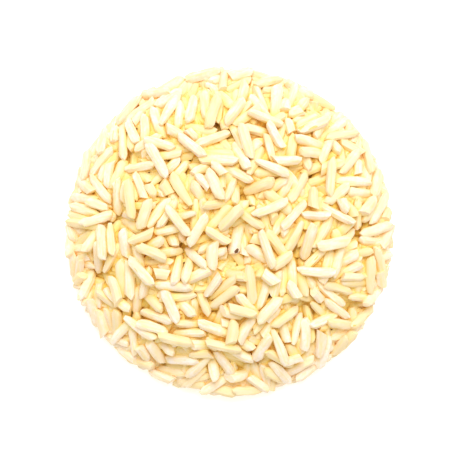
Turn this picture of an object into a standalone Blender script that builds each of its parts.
"""A small round heap of dry long-grain rice, low and gently domed, lying on a flat surface.

The heap is one solid: a domed core with the grains that show fused onto it. The grains are
laid one after another on a height map, each tipping onto what lies under it, until the heap
is full up to its domed outline. Units are metres and +Z is up. The origin is on the ground,
at the middle of the heap.
"""

import math

import bmesh
import bpy
import numpy as np
from mathutils import Matrix, Vector
from mathutils.bvhtree import BVHTree

MM = 0.001

# The heap
HEAP_RADIUS = 31.0 * MM
HEAP_HEIGHT = 12.2 * MM
RIM_HEIGHT = 2.8 * MM
DOME_POWER = 2.6
GROUND_GAP = 0.1 * MM
HOLLOW_RADIUS = 2.6 * MM
HOLLOW_DEPTH = 3.0 * MM

# The shaded hollows: a spiral that starts just below the middle, each hollow strayed a little from it
HOLLOWS = 19
HOLLOW_SEED = 3
HOLLOW_START = math.radians(-71)
HOLLOW_TURN = math.pi * (3 - math.sqrt(5))
HOLLOW_INNERMOST = 0.3
HOLLOW_STRAY = 4.0 * MM

# One grain, and how much grains differ
GRAIN_LENGTH = 6.9 * MM
GRAIN_WIDTH = 1.95 * MM
GRAIN_THICKNESS = 1.7 * MM
BLUNTNESS = 3.0
LENGTH_SPREAD = 0.12
WIDTH_SPREAD = 0.14
WHOLE, CHIPPED, HALVED = 1.0, 0.78, 0.5
KIND_SHARES = (0.8, 0.12, 0.08)
ROLL_LIMIT = math.radians(25)

# How the grains are laid
SEED = 7
CELL = 0.2 * MM
TRIES = 60
WANDER = 1.6 * MM
RIM_PULL = 1.3 * MM
MOST_PROUD = 1.35 * MM
STEEPEST = 0.9
SHORTFALL = 0.55 * MM
UNEVEN = 1.5 * MM
NESTLE = 0.72
MOST_GRAINS = 2000

# Single grains that lie across the others
STRAY_GRAINS = 50
STRAY_TRIES = 14
STRAY_MARGIN = 4.0 * MM

# The core
CORE_RADIUS = 29.6 * MM
CORE_RINGS = 12
CORE_SIDES = 40
CORE_DEPTH = 0.9 * MM
CORE_REACH = 1.8 * MM
CORE_LEAST = 0.9 * MM
MERGE = 0.01 * MM

# The grains fused onto the core
FUSED_GRAINS = 150
PICK_REACH = 2.6 * MM
PICK_FADE = 0.6
STEEPEST_COUNTED = 2.0
BITE = 0.35 * MM
LEAST_SHOWN = 0.5 * MM
FACET_SIDES = 5
FACET_RINGS = 4
FACET_SWELL = 1.07
SHOULDER = 0.74
END_SHARE = math.sqrt(1 - SHOULDER**BLUNTNESS)
SHARP_ANGLE = math.radians(50)

RICE_COLOUR = (0.94, 0.84, 0.58, 1.0)
RICE_ROUGHNESS = 0.5

# Sample points over a lying grain, as shares of its half length and half width
ALONG, ACROSS = np.meshgrid(np.linspace(-0.92, 0.92, 11), np.linspace(-0.8, 0.8, 5), indexing="ij")
BELLY = np.sqrt(np.clip(1 - np.abs(ALONG) ** BLUNTNESS - ACROSS**2, 0, None))
AROUND = np.linspace(0, math.tau, 17)[:-1]


def skin_height(reach):
    """Height of the domed outline at this distance from the middle."""
    share = np.clip(reach / HEAP_RADIUS, 0, 1)
    return RIM_HEIGHT + (HEAP_HEIGHT - RIM_HEIGHT) * (1 - share**DOME_POWER)


def hollow_middles():
    """Where the hollows are. They cover the heap evenly, and stray more the further out they are."""
    number = np.arange(HOLLOWS)
    turn = HOLLOW_START + number * HOLLOW_TURN
    out = HEAP_RADIUS * np.sqrt((number + HOLLOW_INNERMOST) / HOLLOWS)
    strayed = np.random.default_rng(HOLLOW_SEED).uniform(-HOLLOW_STRAY, HOLLOW_STRAY, (2, HOLLOWS))
    strayed *= np.sqrt(number / HOLLOWS)
    return np.transpose((out * np.cos(turn), out * np.sin(turn)) + strayed)


def hollow_share(away):
    """1 in the middle of a hollow, and 0 well outside it."""
    return np.exp(-((away / HOLLOW_RADIUS) ** 2))


class Bed:
    """Height of the rice laid so far, over a square of cells, and which grain is on top in each.

    The skin is the outline that the rice fills: the dome, with shallow hollows in it.
    """

    def __init__(self):
        self.side = int(2 * HEAP_RADIUS / CELL) + 8
        self.height = np.zeros((self.side, self.side))
        self.top_grain = np.full((self.side, self.side), -1)
        places = (np.arange(self.side) - self.side / 2 + 0.5) * CELL
        self.x, self.y = np.meshgrid(places, places, indexing="ij")
        self.reach = np.hypot(self.x, self.y)
        self.skin = skin_height(self.reach)
        for x, y in hollow_middles():
            away = np.hypot(self.x - x, self.y - y)
            self.skin = np.minimum(self.skin, skin_height(self.reach) - HOLLOW_DEPTH * hollow_share(away))
        self.skin = np.maximum(self.skin, RIM_HEIGHT)

    def index(self, place):
        return np.clip((place / CELL + self.side / 2).astype(int), 0, self.side - 1)

    def read(self, x, y):
        return self.height[self.index(x), self.index(y)]

    def read_skin(self, x, y):
        return self.skin[self.index(x), self.index(y)]

    def lay(self, grain, number):
        """Raises the bed by one grain."""
        half_length, half_width, half_thickness = grain["size"]
        cells = int(2 * half_length / CELL) + 3
        corner = [int((v - half_length) / CELL + self.side / 2) - 1 for v in (grain["x"], grain["y"])]
        part = tuple(slice(max(c, 0), c + cells) for c in corner)
        dx, dy = self.x[part] - grain["x"], self.y[part] - grain["y"]
        along = dx * math.cos(grain["yaw"]) + dy * math.sin(grain["yaw"])
        across = dy * math.cos(grain["yaw"]) - dx * math.sin(grain["yaw"])
        reach = half_length / math.sqrt(1 + grain["slope"] ** 2)
        room = 1 - np.abs(along / reach) ** BLUNTNESS - (across / half_width) ** 2
        back = grain["z"] + grain["slope"] * along + np.sqrt(np.clip(room, 0, None)) * half_thickness
        higher = (room > 0) & (back > self.height[part])
        self.height[part][higher] = back[higher]
        self.top_grain[part][higher] = number


def outermost(x, y, yaw, size):
    """How far from the heap's middle each lying grain reaches."""
    along, across = np.cos(AROUND) * size[0], np.sin(AROUND) * size[1]
    cos, sin = np.cos(yaw)[:, None], np.sin(yaw)[:, None]
    edge_x, edge_y = x[:, None] + along * cos - across * sin, y[:, None] + along * sin + across * cos
    return np.hypot(edge_x, edge_y).max(axis=1)


def resting(bed, x, y, yaw, size):
    """Height and slope at which a grain comes to rest at each (x, y), turned by yaw.

    Along the grain, the bed and the grain's belly say how high its axis has to be. The grain
    rests on the highest chord between a point behind its middle and one in front of it.
    """
    half_length, half_width, half_thickness = size
    cos, sin = np.cos(yaw)[:, None, None], np.sin(yaw)[:, None, None]
    middle = len(ALONG) // 2
    rows = np.arange(len(x))
    slope = np.zeros(len(x))
    for _ in range(2):
        run = ALONG * half_length / np.sqrt(1 + slope**2)[:, None, None]
        side = ACROSS * half_width * NESTLE
        under = bed.read(x[:, None, None] + run * cos - side * sin, y[:, None, None] + run * sin + side * cos)
        need = (under + BELLY * half_thickness * NESTLE).max(axis=2)
        behind, need_behind = run[:, :middle, 0, None], need[:, :middle, None]
        ahead, need_ahead = run[:, None, middle + 1 :, 0], need[:, None, middle + 1 :]
        chord = (need_behind * ahead - need_ahead * behind) / (ahead - behind)
        tilt = (need_ahead - need_behind) / (ahead - behind)
        pick = chord.reshape(len(x), -1).argmax(axis=1)
        level = np.maximum(chord.reshape(len(x), -1)[rows, pick], need[:, middle])
        slope = tilt.reshape(len(x), -1)[rows, pick]
    lowest = np.hypot(half_length * slope, half_thickness) / np.sqrt(1 + slope**2)
    return np.maximum(level, GROUND_GAP + lowest), slope


def grain_size(draw):
    """Half length, half width and half thickness of one grain: most are whole, some are broken."""
    length_share = draw.uniform(1 - LENGTH_SPREAD, 1 + LENGTH_SPREAD)
    return (
        GRAIN_LENGTH / 2 * length_share * draw.choice((WHOLE, CHIPPED, HALVED), p=KIND_SHARES),
        GRAIN_WIDTH / 2 * draw.uniform(1 - WIDTH_SPREAD, 1 + WIDTH_SPREAD),
        GRAIN_THICKNESS / 2 * draw.uniform(1 - WIDTH_SPREAD, 1 + WIDTH_SPREAD),
    )


def drawn_to_rim(x, y, yaw, size):
    """Moves grains that cross the heap's rim, or lie just inside it, so that they end on it."""
    for _ in range(2):
        room = HEAP_RADIUS - outermost(x, y, yaw, size)
        push = 1 + np.where(room < RIM_PULL, room, 0) / (np.hypot(x, y) + MM)
        x, y = x * push, y * push
    return x, y


def stray_grain(bed, draw):
    """A grain dropped onto the full heap, across others. Of several tries, the lowest is kept."""
    size = grain_size(draw)
    reach = (HEAP_RADIUS - STRAY_MARGIN) * np.sqrt(draw.uniform(0, 1, STRAY_TRIES))
    turn = draw.uniform(0, math.tau, STRAY_TRIES)
    x, y = reach * np.cos(turn), reach * np.sin(turn)
    yaw = draw.uniform(0, math.pi, STRAY_TRIES)
    level, slope = resting(bed, x, y, yaw, size)
    best = int((level - bed.read_skin(x, y) + GRAIN_WIDTH * np.abs(slope)).argmin())
    grain = {"x": x[best], "y": y[best], "z": level[best], "yaw": yaw[best], "slope": slope[best]}
    grain.update(roll=draw.uniform(-ROLL_LIMIT, ROLL_LIMIT), size=size)
    return grain


def pour_rice():
    """Lays grains until the heap is full, and returns the bed and the list of grains.

    Each grain goes near the place that lies lowest under the outline. Of several tries there,
    the one that comes to rest lowest is kept. A few more grains then go anywhere on top.
    """
    draw = np.random.default_rng(SEED)
    bed = Bed()
    goal = np.where(bed.reach < HEAP_RADIUS - 2 * CELL, bed.skin, 0)
    unevenness = draw.uniform(0, UNEVEN, goal.shape)
    grains = []
    while len(grains) < MOST_GRAINS:
        want = goal - bed.height
        want = np.where(want > SHORTFALL, want + unevenness, 0)
        i, j = divmod(int(want.argmax()), bed.side)
        if want[i, j] <= 0:
            break
        size = grain_size(draw)
        x = bed.x[i, j] + draw.uniform(-WANDER, WANDER, TRIES)
        y = bed.y[i, j] + draw.uniform(-WANDER, WANDER, TRIES)
        yaw = draw.uniform(0, math.pi, TRIES)
        roll = draw.uniform(-ROLL_LIMIT, ROLL_LIMIT)
        x, y = drawn_to_rim(x, y, yaw, size)
        level, slope = resting(bed, x, y, yaw, size)
        proud = level + size[2] - bed.read_skin(x, y)
        proud[(proud > MOST_PROUD) | (np.abs(slope) > STEEPEST)] = np.inf
        best = int(proud.argmin())
        if not np.isfinite(proud[best]):
            goal[max(i - 2, 0) : i + 3, max(j - 2, 0) : j + 3] = 0
            continue
        grain = {"x": x[best], "y": y[best], "z": level[best], "yaw": yaw[best], "slope": slope[best]}
        grain.update(roll=roll, size=size)
        bed.lay(grain, len(grains))
        grains.append(grain)
    for _ in range(STRAY_GRAINS):
        grain = stray_grain(bed, draw)
        bed.lay(grain, len(grains))
        grains.append(grain)
    return bed, grains


def seated(grain, core_tree):
    """The grain, moved where it would hang clear of the core so that it bites into it.

    Returns None for a grain that the core hides.
    """
    half_length, _, half_thickness = grain["size"]
    run = half_length / math.sqrt(1 + grain["slope"] ** 2)
    along = Vector((math.cos(grain["yaw"]), math.sin(grain["yaw"]), grain["slope"])) * run
    middle = Vector((grain["x"], grain["y"], grain["z"]))
    clearances = []
    for share in (-SHOULDER, 0, SHOULDER):
        point = middle + along * share
        surface, normal, _, distance = core_tree.find_nearest(point)
        inside = (point - surface).dot(normal) < 0
        clearances.append((-distance if inside else distance, surface - point))
    if max(clearances)[0] + half_thickness < LEAST_SHOWN:
        return None
    nearest, way = min(clearances)
    hang = nearest + BITE - half_thickness * END_SHARE
    if hang > 0:
        middle += way.normalized() * hang
    return grain | {"x": middle.x, "y": middle.y, "z": middle.z}


def showing_most(bed, grains, core_tree):
    """The grains that show most, largest first. Each one picked makes those round it count less."""
    shown = bed.top_grain >= 0
    owner, x, y = bed.top_grain[shown], bed.x[shown], bed.y[shown]
    tilt = np.hypot(*np.gradient(bed.height, CELL))[shown]
    worth = np.sqrt(1 + np.minimum(tilt, STEEPEST_COUNTED) ** 2)
    picked = []
    while len(picked) < FUSED_GRAINS and worth.any():
        best = int(np.bincount(owner, worth, minlength=len(grains)).argmax())
        worth[owner == best] = 0
        grain = seated(grains[best], core_tree)
        if grain:
            picked.append(grain)
            worth[np.hypot(x - grain["x"], y - grain["y"]) < PICK_REACH] *= PICK_FADE
    return picked


def rice_material():
    material = bpy.data.materials.new("rice")
    material.use_nodes = True
    shader = material.node_tree.nodes["Principled BSDF"]
    shader.inputs["Base Color"].default_value = RICE_COLOUR
    shader.inputs["Roughness"].default_value = RICE_ROUGHNESS
    shader.inputs["Metallic"].default_value = 0.0
    return material


def grain_mesh():
    """One grain of unit half sizes along X, with few sides and blunt ends."""
    bm = bmesh.new()
    bmesh.ops.create_uvsphere(bm, u_segments=FACET_SIDES, v_segments=FACET_RINGS, radius=1.0)
    bmesh.ops.rotate(bm, verts=bm.verts, cent=(0, 0, 0), matrix=Matrix.Rotation(math.pi / 2, 3, "Y"))
    for vert in bm.verts:
        radius = math.hypot(vert.co.y, vert.co.z)
        on_end_ring = math.isclose(abs(vert.co.x), radius, abs_tol=0.01)
        if on_end_ring:
            vert.co.x = math.copysign(SHOULDER, vert.co.x)
            vert.co.yz = vert.co.yz * (END_SHARE / radius)
        vert.co.yz = vert.co.yz * FACET_SWELL
    mesh = bpy.data.meshes.new("grain")
    bm.to_mesh(mesh)
    bm.free()
    return mesh


def place_grain(mesh, grain, number, collection):
    obj = bpy.data.objects.new(f"grain_{number:03d}", mesh)
    yaw = Matrix.Rotation(grain["yaw"], 4, "Z")
    pitch = Matrix.Rotation(-math.atan(grain["slope"]), 4, "Y")
    roll = Matrix.Rotation(grain["roll"], 4, "X")
    stretch = Matrix.Diagonal((*grain["size"], 1))
    place = Matrix.Translation((grain["x"], grain["y"], grain["z"]))
    obj.matrix_world = place @ yaw @ pitch @ roll @ stretch
    obj.display_type = "WIRE"
    obj.hide_render = True
    collection.objects.link(obj)


def keep_evaluated(obj):
    """Applies the object's modifiers."""
    bpy.context.view_layer.update()
    obj.data = bpy.data.meshes.new_from_object(obj.evaluated_get(bpy.context.evaluated_depsgraph_get()))
    obj.modifiers.clear()


def core_height(bed, x, y):
    """Height of the core under the grains round (x, y). It runs out low at its edge."""
    if math.hypot(x, y) > CORE_RADIUS - CELL:
        return CORE_LEAST
    near = np.hypot(bed.x - x, bed.y - y) < CORE_REACH
    return max(float(bed.height[near].mean()) - CORE_DEPTH, CORE_LEAST)


def core_object(bed, collection):
    """The heap's inside: a turned dome whose top is then moved to run just under the grains."""
    radii = np.linspace(0, CORE_RADIUS, CORE_RINGS + 1)
    profile = [(r, 0, skin_height(r) - CORE_DEPTH) for r in radii] + [(CORE_RADIUS, 0, 0), (0, 0, 0)]
    mesh = bpy.data.meshes.new("rice_heap")
    mesh.from_pydata(profile, [(k, k + 1) for k in range(len(profile) - 1)], [])
    obj = bpy.data.objects.new("rice_heap", mesh)
    collection.objects.link(obj)
    turn = obj.modifiers.new("Turn", "SCREW")
    turn.steps = turn.render_steps = CORE_SIDES
    turn.use_merge_vertices = True
    turn.merge_threshold = MERGE
    keep_evaluated(obj)
    for vert in obj.data.vertices:
        if vert.co.z > 0:
            vert.co.z = core_height(bed, vert.co.x, vert.co.y)
    obj.data.materials.clear()
    obj.data.materials.append(rice_material())
    return obj


def fuse_grains(heap, loose):
    """Joins the loose grains to the heap's core in one union, and removes them."""
    fuse = heap.modifiers.new("Fuse", "BOOLEAN")
    fuse.operation = "UNION"
    fuse.operand_type = "COLLECTION"
    fuse.collection = loose
    fuse.solver = "MANIFOLD"
    keep_evaluated(heap)
    for obj in list(loose.objects):
        bpy.data.objects.remove(obj)
    bpy.data.collections.remove(loose)


def keep_outer_body(mesh):
    """Fills hollows that fusing sealed and drops loose scraps: only the largest shell stays."""
    bm = bmesh.new()
    bm.from_mesh(mesh)
    waiting, shells = set(bm.verts), []
    while waiting:
        shell, front = set(), [waiting.pop()]
        while front:
            vert = front.pop()
            shell.add(vert)
            linked = {edge.other_vert(vert) for edge in vert.link_edges} & waiting
            waiting -= linked
            front.extend(linked)
        shells.append(shell)
    largest = max(shells, key=len)
    bmesh.ops.delete(bm, geom=[vert for vert in bm.verts if vert not in largest], context="VERTS")
    bm.to_mesh(mesh)
    bm.free()


def build():
    for old in list(bpy.data.objects):
        bpy.data.objects.remove(old)
    parts = bpy.data.collections.new("rice heap")
    loose = bpy.data.collections.new("loose grains")
    for collection in (parts, loose):
        bpy.context.scene.collection.children.link(collection)
    bed, grains = pour_rice()
    heap = core_object(bed, parts)
    bpy.context.view_layer.update()
    core_tree = BVHTree.FromObject(heap, bpy.context.evaluated_depsgraph_get())
    mesh = grain_mesh()
    for number, grain in enumerate(showing_most(bed, grains, core_tree)):
        place_grain(mesh, grain, number, loose)
    fuse_grains(heap, loose)
    keep_outer_body(heap.data)
    heap.data.shade_smooth()
    heap.data.set_sharp_from_angle(angle=SHARP_ANGLE)


build()
